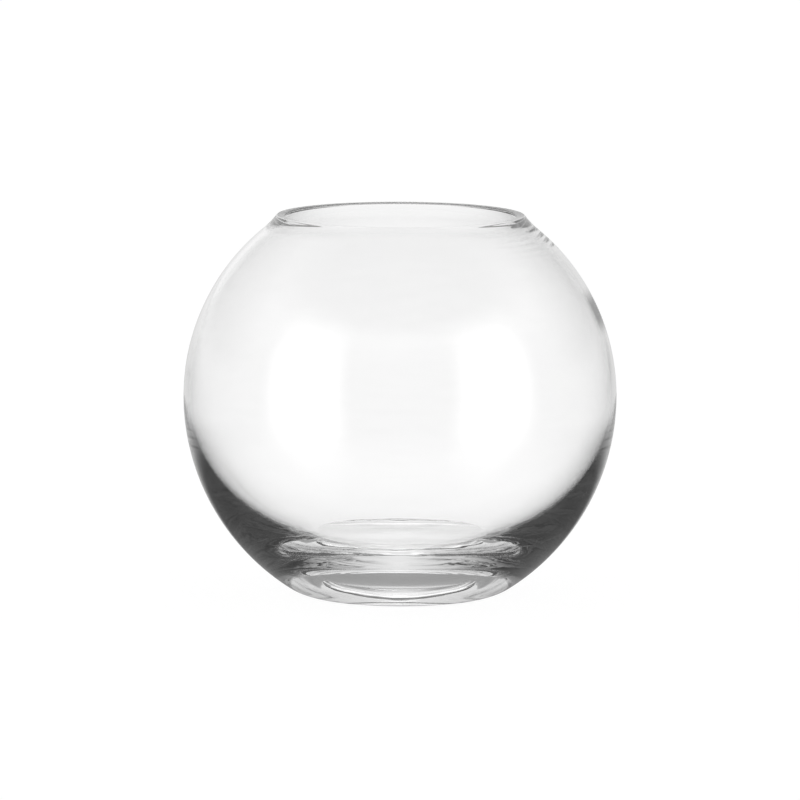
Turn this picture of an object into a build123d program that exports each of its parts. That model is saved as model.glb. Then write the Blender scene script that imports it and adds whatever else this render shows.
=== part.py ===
"""Clear glass rose bowl: a ball-shaped body blown in one piece, with a thin wall, a solid base and a cut rim.

The whole bowl is one gather of glass, so it is one solid, turned about the Z axis from its glass section.
The origin is the centre of the ground foot, on the surface that the bowl stands on, with +Z up.
"""

import os
from math import acos, asin, atan2, degrees, radians, sin, sqrt

from build123d import *

# Outside of the body, in millimetres
body_diameter = 150.0
lower_radius = 78.7  # curve of the lower half, which sags a little deeper than half a ball
foot_diameter = 65.5  # of the flat that is ground across the bottom
heel_radius = 20.0  # curve from the foot up into the lower half
ground_away = 0.5  # depth of glass ground off the round bottom, which leaves an edge round the foot

# Neck, lip and mouth
neck_diameter = 96.0  # where the wall leaves the ball and turns up into the lip
lip_rise = 5.4  # from the neck to the plane of the rim
lip_width = 3.5  # of the cut, before its edges are rounded
lip_round = 0.45  # fire-polished rounding of both edges of the rim
mouth_diameter = 78.6  # at the inner edge of the cut, before it is rounded

# Glass left between the outside and the hollow
wall = 1.9  # at the widest part and all the way up to the neck
base_thickness = 9.5  # on the axis
floor_radius = 145.0  # hollow curve of the floor inside

# Outside: levels and radii that follow from the sizes above
body_radius = body_diameter / 2
lower_centre_radius = body_radius - lower_radius
foot_radius = foot_diameter / 2
heel_centre_height = heel_radius - ground_away
heel_centre_radius = foot_radius - sqrt(heel_radius**2 - heel_centre_height**2)
heel_start_angle = degrees(asin(heel_centre_height / heel_radius))
heel_end_angle = degrees(acos((heel_centre_radius - lower_centre_radius) / (lower_radius - heel_radius)))
widest_height = heel_centre_height + (lower_radius - heel_radius) * sin(radians(heel_end_angle))
neck_angle = degrees(acos(neck_diameter / body_diameter))
rim_height = widest_height + body_radius * sin(radians(neck_angle)) + lip_rise
mouth_radius = mouth_diameter / 2
lip_outer_radius = mouth_radius + lip_width

# Hollow: its lower half is a three-centred curve, where an arc that leaves the wall upright at the widest part
# runs without a kink into the flatter arc of the floor
hollow_radius = body_radius - wall
floor_centre_rise = floor_radius - (widest_height - base_thickness)
turn_radius = (floor_radius**2 - hollow_radius**2 - floor_centre_rise**2) / (2 * (floor_radius - hollow_radius))
turn_centre_radius = hollow_radius - turn_radius
turn_angle = degrees(atan2(floor_centre_rise, turn_centre_radius))

os.makedirs("parts", exist_ok=True)

with BuildPart() as glass_bowl:
    with BuildSketch(Plane.XZ) as glass_section:
        with BuildLine():
            # Outside: the ground foot, the heel, the body in two halves, and the lip up to the cut rim
            foot = Line((0, 0), (foot_radius, 0))
            heel_centre = (heel_centre_radius, heel_centre_height)
            CenterArc(heel_centre, heel_radius, -heel_start_angle, heel_start_angle - heel_end_angle)
            CenterArc((lower_centre_radius, widest_height), lower_radius, -heel_end_angle, heel_end_angle)
            upper_half = CenterArc((0, widest_height), body_radius, 0, neck_angle)
            lip_outside = TangentArc(upper_half @ 1, (lip_outer_radius, rim_height), tangent=upper_half % 1)
            rim = Line(lip_outside @ 1, (mouth_radius, rim_height))

            # Hollow, from the widest part up to the rim
            wall_inside = CenterArc((0, widest_height), hollow_radius, 0, neck_angle)
            TangentArc(wall_inside @ 1, rim @ 1, tangent=wall_inside % 1)

            # Hollow, from the widest part down to the axis
            turn = CenterArc((turn_centre_radius, widest_height), turn_radius, 0, -turn_angle)
            floor = TangentArc(turn @ 1, (0, base_thickness), tangent=turn % 1)
            Line(floor @ 1, foot @ 0)
        make_face()

        # The flame rounds both edges of the rim
        fillet(glass_section.vertices().group_by(Axis.Y)[-1], radius=lip_round)
    revolve(axis=Axis.Z)

glass_bowl.part.label = "glass_bowl"
export_step(glass_bowl.part, "parts/glass_bowl.step")
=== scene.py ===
"""A rose bowl of clear blown glass, standing on a pale studio floor and seen a little from above.

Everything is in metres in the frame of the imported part.
The origin is the centre of the ground foot, and +Z is up.
"""

from math import acos, atan2, cos, pi, radians, sin, sqrt

import bpy
import numpy as np
from mathutils import Euler, Matrix, Vector


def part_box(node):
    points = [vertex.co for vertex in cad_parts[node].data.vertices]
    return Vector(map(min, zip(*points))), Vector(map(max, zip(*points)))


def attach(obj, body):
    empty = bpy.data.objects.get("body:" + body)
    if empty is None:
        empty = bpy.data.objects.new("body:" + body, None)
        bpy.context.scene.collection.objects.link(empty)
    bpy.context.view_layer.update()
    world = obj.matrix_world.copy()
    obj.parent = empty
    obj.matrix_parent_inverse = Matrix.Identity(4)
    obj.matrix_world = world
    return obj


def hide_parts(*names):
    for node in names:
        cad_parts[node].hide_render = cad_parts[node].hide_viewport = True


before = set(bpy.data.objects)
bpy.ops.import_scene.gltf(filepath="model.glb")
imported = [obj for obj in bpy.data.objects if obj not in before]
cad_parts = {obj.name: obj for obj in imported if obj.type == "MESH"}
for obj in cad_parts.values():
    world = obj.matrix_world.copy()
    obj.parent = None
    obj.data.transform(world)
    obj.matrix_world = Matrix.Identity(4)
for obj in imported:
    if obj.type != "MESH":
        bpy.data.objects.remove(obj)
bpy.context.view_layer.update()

MM = 0.001

# The bowl's glass section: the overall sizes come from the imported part, the rest are the maker's sizes
_, bowl_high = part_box("glass_bowl")
body_radius = bowl_high.x
rim_height = bowl_high.z
lower_radius = 78.7 * MM  # curve of the lower half of the body
foot_radius = 32.75 * MM  # of the flat that is ground across the bottom
heel_radius = 20.0 * MM
ground_away = 0.5 * MM  # depth ground off the round bottom, which leaves an edge round the foot
neck_radius = 48.0 * MM  # where the wall leaves the ball and turns up into the lip
lip_width = 3.5 * MM
lip_round = 0.45 * MM
mouth_radius = 39.3 * MM
wall = 1.9 * MM
base_thickness = 9.5 * MM
floor_radius = 145.0 * MM  # hollow curve of the floor inside

# Heel: a circle that touches the lower half's circle from inside, and that the plane of the foot cuts
heel_height = heel_radius - ground_away
heel_centre = np.array((foot_radius - sqrt(heel_radius**2 - heel_height**2), heel_height))
lower_centre_radius = body_radius - lower_radius
between_centres = lower_radius - heel_radius
widest_height = heel_height + sqrt(between_centres**2 - (heel_centre[0] - lower_centre_radius) ** 2)
lower_centre = np.array((lower_centre_radius, widest_height))

# What blowing by hand leaves on the glass
wave_depth = 0.012 * MM  # long waves all over, but not on the ground foot and the rim
long_waves = ((9, 7, 0.4), (14, -5, 2.1), (5, 11, 4.0))  # waves round it, mm to a radian up it, start
waves_fade = 4 * MM  # height over which they come in
no_waves_on_foot = 0.3 * MM
no_waves_on_rim = 2 * MM
waves_full_radius = 20 * MM  # they fade from here to the axis
ring_depth = 0.08 * MM  # close rings on one shoulder, where the lip was turned up last
ring_spacing = 2.6 * MM
rings_below_rim = 6.5 * MM
rings_height = 4.5 * MM
rings_middle = radians(-18)
rings_spread = radians(22)

# The glass mesh: finer along the section at the shoulder than elsewhere
segments_around = 256
step_along_section = 1.3 * MM
step_on_shoulder = 0.3 * MM
shoulder_angle = radians(37)
steps_of_a_round_edge = 8
touching = 1e-9  # a height below this is on the plane of the foot


def arc(centre, radius, start, end, step=step_along_section):
    """Evenly spaced points on a circle of the section, from the angle start to the angle end."""
    steps = max(steps_of_a_round_edge, round(abs(end - start) * radius / step))
    angle = np.linspace(start, end, steps + 1)
    return np.column_stack((centre[0] + radius * np.cos(angle), centre[1] + radius * np.sin(angle)))


def tangent_circle(start, direction, end):
    """Centre and signed radius of the circle that leaves start along direction and passes through end.

    The centre lies on the left of the direction. Its distance is the chord squared over twice the chord's
    reach to the left.
    """
    left = np.array((-direction[1], direction[0]))
    chord = np.array(end) - np.array(start)
    radius = chord @ chord / (2 * (chord @ left))
    return np.array(start) + left * radius, radius


def angle_on(centre, point):
    """Angle of a point of the section as seen from a circle's centre."""
    return atan2(point[1] - centre[1], point[0] - centre[0])


def glass_section():
    """The glass section from the centre of the foot, up the outside, over the rim and down the hollow.

    A straight foot is followed by arcs: heel, lower half, upper half, lip, rim with two rounded edges, hollow
    lip, hollow wall, the turn of the hollow and its floor. Each runs into the next without a kink, but for
    the edge round the foot.
    """
    heel_start = angle_on(heel_centre, (foot_radius, 0))
    heel_end = angle_on(lower_centre, heel_centre)

    # Lip: both faces leave the ball along its curve and reach the plane of the rim
    middle = np.array((0.0, widest_height))
    neck_angle = acos(neck_radius / body_radius)
    up_the_ball = np.array((-sin(neck_angle), cos(neck_angle)))
    hollow_radius = body_radius - wall
    outer_neck = middle + body_radius * np.array((cos(neck_angle), sin(neck_angle)))
    inner_neck = middle + hollow_radius * np.array((cos(neck_angle), sin(neck_angle)))
    outer_lip, outer_bend = tangent_circle(outer_neck, up_the_ball, (mouth_radius + lip_width, rim_height))
    inner_lip, inner_bend = tangent_circle(inner_neck, up_the_ball, (mouth_radius, rim_height))

    # Rounded edges of the rim: small circles that touch the plane of the rim and the two faces of the lip
    edge_height = rim_height - lip_round
    outer_across = sqrt((abs(outer_bend) + lip_round) ** 2 - (edge_height - outer_lip[1]) ** 2)
    inner_across = sqrt((abs(inner_bend) - lip_round) ** 2 - (edge_height - inner_lip[1]) ** 2)
    outer_edge = np.array((outer_lip[0] - outer_across, edge_height))
    inner_edge = np.array((inner_lip[0] - inner_across, edge_height))
    outer_touch = angle_on(outer_lip, outer_edge) % (2 * pi)
    inner_touch = angle_on(inner_lip, inner_edge) % (2 * pi)
    outer_lip_start = angle_on(outer_lip, outer_neck) % (2 * pi)
    inner_lip_end = angle_on(inner_lip, inner_neck) % (2 * pi)

    # Hollow: the turn leaves the wall upright at the widest part and runs into the flatter floor
    floor_centre = np.array((0.0, base_thickness + floor_radius))
    rise = floor_centre[1] - widest_height
    turn_radius = (floor_radius**2 - hollow_radius**2 - rise**2) / (2 * (floor_radius - hollow_radius))
    turn_centre = np.array((hollow_radius - turn_radius, widest_height))
    turn_end = angle_on(floor_centre, turn_centre)

    foot_steps = round(foot_radius / step_along_section)
    foot = np.column_stack((np.linspace(0, foot_radius, foot_steps + 1), np.zeros(foot_steps + 1)))
    stretches = (
        foot,
        arc(heel_centre, heel_radius, heel_start, heel_end),
        arc(lower_centre, lower_radius, heel_end, 0),
        arc(middle, body_radius, 0, shoulder_angle),
        arc(middle, body_radius, shoulder_angle, neck_angle, step_on_shoulder),
        arc(outer_lip, abs(outer_bend), outer_lip_start, outer_touch, step_on_shoulder),
        arc(outer_edge, lip_round, outer_touch - pi, pi / 2),
        arc(inner_edge, lip_round, pi / 2, inner_touch),
        arc(inner_lip, abs(inner_bend), inner_touch, inner_lip_end),
        arc(middle, hollow_radius, neck_angle, 0),
        arc(turn_centre, turn_radius, 0, turn_end),
        arc(floor_centre, floor_radius, turn_end, -pi / 2),
    )
    return np.concatenate([stretch[1:] if k else stretch for k, stretch in enumerate(stretches)])


def hand_blown(section, around):
    """How deep the glass lies under its turned shape, for each point of the section and each angle round it.

    The long waves are three sines, each of the angle and of the distance along the section together. The
    rings, on the outside only, are a sine of that distance alone, faded by one bell curve in the angle and by
    another in the height. Both are shifted so that they only ever take glass away.
    """
    radius, height = section.T
    travelled = np.concatenate(([0], np.cumsum(np.hypot(*np.diff(section, axis=0).T))))[:, None] / MM
    outside = travelled[:, 0] < travelled[np.argmax(height), 0]
    waves = sum(np.sin(turns * around + travelled / length + start) for turns, length, start in long_waves)
    clear_of_foot = np.clip((height - no_waves_on_foot) / waves_fade, 0, 1)
    clear_of_rim = np.clip((rim_height - no_waves_on_rim - height) / waves_fade, 0, 1)
    clear_of_axis = np.clip(radius / waves_full_radius, 0, 1) ** 2
    clear = (clear_of_foot * clear_of_rim * clear_of_axis)[:, None]
    depth = wave_depth * (1 + waves / len(long_waves)) / 2 * clear

    rings = (1 + np.sin(2 * pi * travelled * MM / ring_spacing)) / 2
    up = np.exp(-(((height - rim_height + rings_below_rim) / rings_height) ** 2)) * outside
    round_it = np.exp(-((((around - rings_middle + pi) % (2 * pi) - pi) / rings_spread) ** 2))
    return depth + ring_depth * rings * up[:, None] * round_it


def turned_glass(name, section):
    """A closed surface of revolution: each point (r, z) of the section goes round at r cos u, r sin u, z.

    It is first moved along the section's normal, into the glass, by the depth that hand_blown gives there.
    The first and the last point lie on the axis and become the two poles, closed by fans of triangles.
    """
    around = np.linspace(0, 2 * pi, segments_around, endpoint=False)
    along = np.gradient(section, axis=0)
    inward = np.column_stack((-along[:, 1], along[:, 0])) / np.hypot(*along.T)[:, None]
    depth = hand_blown(section, around)[1:-1]
    radius = section[1:-1, :1] + inward[1:-1, :1] * depth
    height = section[1:-1, 1:] + inward[1:-1, 1:] * depth
    grid = np.stack((radius * np.cos(around), radius * np.sin(around), height), axis=-1)
    poles = np.array(((0, 0, section[0, 1]), (0, 0, section[-1, 1])))
    vertices = np.concatenate((grid.reshape(-1, 3), poles))

    here = np.arange(radius.size).reshape(radius.shape)
    beside = np.roll(here, -1, axis=1)
    quads = np.stack((here[:-1], beside[:-1], beside[1:], here[1:]), axis=-1).reshape(-1, 4)
    foot_pole, floor_pole = np.full(segments_around, here.size), np.full(segments_around, here.size + 1)
    foot_fan = np.stack((beside[0], here[0], foot_pole), axis=-1)
    floor_fan = np.stack((here[-1], beside[-1], floor_pole), axis=-1)

    mesh = bpy.data.meshes.new(name)
    mesh.from_pydata(vertices, [], quads.tolist() + foot_fan.tolist() + floor_fan.tolist())

    # Smooth all over but flat on the foot, so that the edge round the foot stays crisp
    rings_on_foot = np.abs(height).max(axis=1) < touching
    smooth = np.full(len(mesh.polygons), True)
    smooth[:len(quads)] = ~np.repeat(rings_on_foot[1:], segments_around)
    smooth[len(quads):len(quads) + len(foot_fan)] = False
    mesh.polygons.foreach_set("use_smooth", smooth)

    piece = bpy.data.objects.new(name, mesh)
    bpy.context.scene.collection.objects.link(piece)
    return piece


def linear(hex_colour):
    """An sRGB hex colour such as "#ffffff" as linear red, green, blue and alpha."""
    channels = np.array([int(hex_colour[k:k + 2], 16) for k in (1, 3, 5)]) / 255
    low, high = channels / 12.92, ((channels + 0.055) / 1.055) ** 2.4
    return (*np.where(channels <= 0.04045, low, high).tolist(), 1.0)


def node(tree, kind, settings=(), out=0, **links):
    """Adds a node with its settings, sets or links its inputs by name or number, and gives one output.

    In a Map Range, input 0 is the value, 1 and 2 are the range it comes from, and 3 and 4 what it becomes.
    """
    added = tree.nodes.new(kind)
    for key, value in dict(settings).items():
        setattr(added, key, value)
    for key, value in links.items():
        socket = added.inputs[int(key[1:]) if key[1:].isdigit() else key.replace("_", " ")]
        if isinstance(value, bpy.types.NodeSocket):
            tree.links.new(value, socket)
        else:
            socket.default_value = value
    return added.outputs[out]


SOFT = {"interpolation_type": "SMOOTHSTEP"}


def blown_clear_glass():
    """Colourless soda-lime glass, blown and fire-polished.

    It gives the eye sharp highlights and a wall that nearly disappears, and where the base is thick, dark and
    light streaks, because the surface is not quite even.
    """
    material = bpy.data.materials.new("soda_lime_glass_blown_and_fire_polished")
    material.use_nodes = True
    tree = material.node_tree
    shader = tree.nodes["Principled BSDF"]
    shader.inputs["Roughness"].default_value = 0.0
    shader.inputs["IOR"].default_value = 1.51
    shader.inputs["Transmission Weight"].default_value = 1.0

    # Cords, the faint streaks of a hand-stirred melt, lie flat round the bowl
    cord_length, cord_height = 12 * MM, 2 * MM
    place = node(tree, "ShaderNodeTexCoord", out="Object")
    cords_in_a_metre = (1 / cord_length, 1 / cord_length, 1 / cord_height)
    flat = node(tree, "ShaderNodeMapping", _0=place, Scale=cords_in_a_metre)
    cords = node(tree, "ShaderNodeTexNoise", Vector=flat, Scale=1.0, Detail=1.0, Roughness=0.4)
    clear, grey = linear("#ffffff"), linear("#fdfdfd")
    tint = node(tree, "ShaderNodeMix", {"data_type": "RGBA"}, out=2, _0=cords, _6=clear, _7=grey)
    tree.links.new(tint, shader.inputs["Base Color"])

    # In the thick base they stand out of the skin by up to a sixtieth of a millimetre
    above = node(tree, "ShaderNodeSeparateXYZ", out="Z", _0=place)
    in_base = node(tree, "ShaderNodeMapRange", SOFT, _0=above, _1=45 * MM, _2=25 * MM)
    skin = node(tree, "ShaderNodeBump", Strength=in_base, Distance=0.016 * MM, Height=cords)
    tree.links.new(skin, shader.inputs["Normal"])
    return material


def matt_white_paper():
    """Matt white paper: the camera sees it evenly white, with the bowl's soft shadow on it.

    Light that the glass has mirrored meets a flat dim glow under the foot, painted shade in place of the
    paper that lies in the bowl's shade, and further out sees past it.
    """
    material = bpy.data.materials.new("matt_white_paper")
    material.use_nodes = True
    tree = material.node_tree
    tree.nodes.remove(tree.nodes["Principled BSDF"])
    depth = node(tree, "ShaderNodeLightPath", out="Glossy Depth")
    mirrored = node(tree, "ShaderNodeMath", {"operation": "GREATER_THAN"}, _0=depth, _1=0.5)
    paper = node(tree, "ShaderNodeBsdfDiffuse", Color=linear("#f2f2f2"))
    # Straight light sees an even white glow of 1.06. Mirrored light sees a flat glow of 0.32 with no shading,
    # painted shade of the paper under the foot
    white_glow_and_painted_shade = node(tree, "ShaderNodeMapRange", _0=mirrored, To_Min=1.06, To_Max=0.32)
    glow = node(tree, "ShaderNodeEmission", Color=linear("#ffffff"), Strength=white_glow_and_painted_shade)
    share = node(tree, "ShaderNodeMapRange", _0=mirrored, To_Min=0.9, To_Max=1.0)
    sheet = node(tree, "ShaderNodeMixShader", _0=share, _1=paper, _2=glow)
    place = node(tree, "ShaderNodeTexCoord", out="Object")
    far = node(tree, "ShaderNodeVectorMath", {"operation": "LENGTH"}, out="Value", _0=place)
    outside = node(tree, "ShaderNodeMapRange", SOFT, _0=far, From_Min=45 * MM, From_Max=105 * MM)
    past_it = node(tree, "ShaderNodeMath", {"operation": "MULTIPLY"}, _0=outside, _1=mirrored)
    nothing = node(tree, "ShaderNodeBsdfTransparent")
    surface = node(tree, "ShaderNodeMixShader", _0=past_it, _1=sheet, _2=nothing)
    tree.links.new(surface, tree.nodes["Material Output"].inputs["Surface"])
    return material


def studio_floor():
    """A flat sheet of paper 12 m across, a hair under the foot."""
    half, drop = 6.0, 0.05 * MM
    corners = [(x * half, y * half, -drop) for x, y in ((-1, -1), (1, -1), (1, 1), (-1, 1))]
    mesh = bpy.data.meshes.new("studio_floor")
    mesh.from_pydata(corners, [], [(0, 1, 2, 3)])
    mesh.materials.append(matt_white_paper())
    floor = bpy.data.objects.new("studio_floor", mesh)
    bpy.context.scene.collection.objects.link(floor)


def studio_world():
    """The studio round the bowl, by how often the glass has mirrored the light on its way.

    Straight through the wall it is the white backdrop. Mirrored once it is a tent of white cloth, dimmer
    towards its top, with a lit floor in front, a dark one behind, a dark stand and a softbox on each side of
    the camera. Mirrored again and again inside the thick base it is the dark room, lit from overhead, with
    the lit strip of the backdrop behind and a faint one in front.
    """
    world = bpy.data.worlds.new("studio")
    bpy.context.scene.world = world
    world.use_nodes = True
    tree = world.node_tree
    towards = node(tree, "ShaderNodeTexCoord", out="Generated")
    axes = node(tree, "ShaderNodeSeparateXYZ", _0=towards).node.outputs
    height = node(tree, "ShaderNodeMath", {"operation": "ARCSINE"}, _0=axes["Z"])
    turned = node(tree, "ShaderNodeMath", {"operation": "ARCTAN2"}, _0=axes["X"], _1=axes["Y"])
    from_back = node(tree, "ShaderNodeMath", {"operation": "ABSOLUTE"}, _0=turned)

    # Straight through: white, and dimmer where the ceiling begins
    plain = node(tree, "ShaderNodeMapRange", SOFT, _0=height, _1=radians(20), _2=radians(45), _3=1.0, _4=0.5)

    # Mirrored once: the tent with the lit floor in front, the dark floor behind and the lit backdrop
    tent = node(tree, "ShaderNodeMapRange", _0=height, _1=radians(-7), _2=radians(70), _3=0.69, _4=0.36)
    dark_floor = node(
        tree, "ShaderNodeMapRange", SOFT, _0=height, _1=radians(-10.5), _2=radians(-18), _4=-0.53
    )
    lit_floor = node(tree, "ShaderNodeMapRange", SOFT, _0=height, _1=radians(-5), _2=radians(-40), _4=0.55)
    front = node(tree, "ShaderNodeMapRange", SOFT, _0=from_back, _1=radians(35), _2=radians(110))
    floor = node(tree, "ShaderNodeMix", _0=front, _2=dark_floor, _3=lit_floor)
    tent = node(tree, "ShaderNodeMath", {"operation": "ADD"}, _0=tent, _1=floor)
    glow = node(
        tree, "ShaderNodeMapRange", SOFT, _0=turned, _1=radians(10), _2=radians(-25), _3=0.15, _4=0.42
    )
    sheet = node(tree, "ShaderNodeMapRange", SOFT, _0=from_back, _1=radians(75), _2=radians(40), _4=glow)
    sheet_top = node(tree, "ShaderNodeMapRange", SOFT, _0=height, _1=radians(65), _2=radians(45))
    sheet_foot = node(tree, "ShaderNodeMapRange", SOFT, _0=height, _1=radians(-9), _2=radians(9))
    sheet_height = node(tree, "ShaderNodeMath", {"operation": "MULTIPLY"}, _0=sheet_top, _1=sheet_foot)
    tent = node(tree, "ShaderNodeMath", {"operation": "MULTIPLY_ADD"}, _0=sheet, _1=sheet_height, _2=tent)

    # A dark stand that leans away beside the backdrop
    above_foot = node(tree, "ShaderNodeMath", {"operation": "ADD"}, _0=height, _1=radians(7.5))
    lean = node(tree, "ShaderNodeMath", {"operation": "ARCTAN2"}, _0=above_foot, _1=turned)
    stand_low = node(tree, "ShaderNodeMapRange", SOFT, _0=lean, _1=radians(17), _2=radians(23), _4=-0.5)
    stand_high = node(tree, "ShaderNodeMapRange", SOFT, _0=lean, _1=radians(32), _2=radians(26))
    stand_near = node(tree, "ShaderNodeMapRange", SOFT, _0=turned, _1=radians(3), _2=radians(8))
    stand_far = node(tree, "ShaderNodeMapRange", SOFT, _0=turned, _1=radians(36), _2=radians(20))
    stand_edges = node(tree, "ShaderNodeMath", {"operation": "MULTIPLY"}, _0=stand_low, _1=stand_high)
    stand_ends = node(tree, "ShaderNodeMath", {"operation": "MULTIPLY"}, _0=stand_near, _1=stand_far)
    tent = node(tree, "ShaderNodeMath", {"operation": "MULTIPLY_ADD"}, _0=stand_edges, _1=stand_ends, _2=tent)

    # The two softboxes
    near_side = node(tree, "ShaderNodeMapRange", SOFT, _0=from_back, _1=radians(154), _2=radians(133))
    far_side = node(tree, "ShaderNodeMapRange", SOFT, _0=from_back, _1=radians(96), _2=radians(119))
    top_edge = node(tree, "ShaderNodeMapRange", SOFT, _0=height, _1=radians(50), _2=radians(22))
    low_edge = node(tree, "ShaderNodeMapRange", SOFT, _0=height, _1=radians(-32), _2=radians(-6), _4=1.5)
    across = node(tree, "ShaderNodeMath", {"operation": "MULTIPLY"}, _0=near_side, _1=far_side)
    upright = node(tree, "ShaderNodeMath", {"operation": "MULTIPLY"}, _0=top_edge, _1=low_edge)
    once = node(tree, "ShaderNodeMath", {"operation": "MULTIPLY_ADD"}, _0=across, _1=upright, _2=tent)

    # Mirrored again: the dark room, hung with cloth in slanting folds 3 degrees high, which also break the
    # edges of the lit strip behind
    slant = node(tree, "ShaderNodeMath", {"operation": "MULTIPLY_ADD"}, _0=turned, _1=0.15, _2=height)
    fold = 1 / radians(3)
    folds = node(tree, "ShaderNodeTexNoise", {"noise_dimensions": "1D"}, W=slant, Scale=fold, Detail=1.0)
    reach = node(tree, "ShaderNodeMapRange", _0=folds, _1=0.35, _2=0.65, _3=radians(24), _4=radians(66))
    dark = node(tree, "ShaderNodeMapRange", _0=folds, _1=0.35, _2=0.65, _3=0.012, _4=0.052)
    behind = node(tree, "ShaderNodeMapRange", SOFT, _0=from_back, _1=0.0, _2=reach, _3=0.82, _4=dark)
    in_front = node(tree, "ShaderNodeMapRange", SOFT, _0=from_back, _1=radians(140), _2=radians(160), _4=0.08)
    again = node(tree, "ShaderNodeMath", {"operation": "ADD"}, _0=behind, _1=in_front)
    overhead = node(tree, "ShaderNodeMapRange", SOFT, _0=height, _1=radians(42), _2=radians(62), _4=0.7)
    again = node(tree, "ShaderNodeMath", {"operation": "ADD"}, _0=again, _1=overhead)

    depth = node(tree, "ShaderNodeLightPath", out="Glossy Depth")
    mirrored = node(tree, "ShaderNodeMath", {"operation": "GREATER_THAN"}, _0=depth, _1=0.5)
    mirrored_again = node(tree, "ShaderNodeMath", {"operation": "GREATER_THAN"}, _0=depth, _1=1.5)
    level = node(tree, "ShaderNodeMix", _0=mirrored, _2=plain, _3=once)
    level = node(tree, "ShaderNodeMix", _0=mirrored_again, _2=level, _3=again)
    background = tree.nodes["Background"]
    background.inputs["Color"].default_value = linear("#ffffff")
    tree.links.new(level, background.inputs["Strength"])


def studio_camera():
    """A long lens in front of the bowl, a little above it, aimed just under the widest part."""
    distance, elevation, roll = 2.85, radians(7.46), radians(0.2)
    lens_px, image_px, sensor = 8226.0, 800, 36.0
    aim_below_widest = 1.5 * MM
    data = bpy.data.cameras.new("camera")
    data.sensor_width = sensor
    data.lens = lens_px * sensor / image_px
    camera = bpy.data.objects.new("camera", data)
    bpy.context.scene.collection.objects.link(camera)
    back = Vector((0, -cos(elevation), sin(elevation)))
    over = Vector((0, sin(elevation), cos(elevation)))
    camera.location = Vector((0, 0, widest_height)) + back * distance - over * aim_below_widest
    level = Euler((pi / 2 - elevation, 0, 0)).to_matrix()
    camera.rotation_euler = (level @ Matrix.Rotation(roll, 3, "Z")).to_euler()
    bpy.context.scene.camera = camera


bowl = turned_glass("blown_bowl", glass_section())
bowl.data.materials.append(blown_clear_glass())
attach(bowl, "root")
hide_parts("glass_bowl")

studio_floor()
studio_world()
studio_camera()

scene = bpy.context.scene
scene.view_settings.view_transform = "Standard"

# Some light leaves the thick base only after many mirrorings
mirrorings = 128
scene.cycles.max_bounces = mirrorings
scene.cycles.transmission_bounces = mirrorings
scene.cycles.glossy_bounces = mirrorings
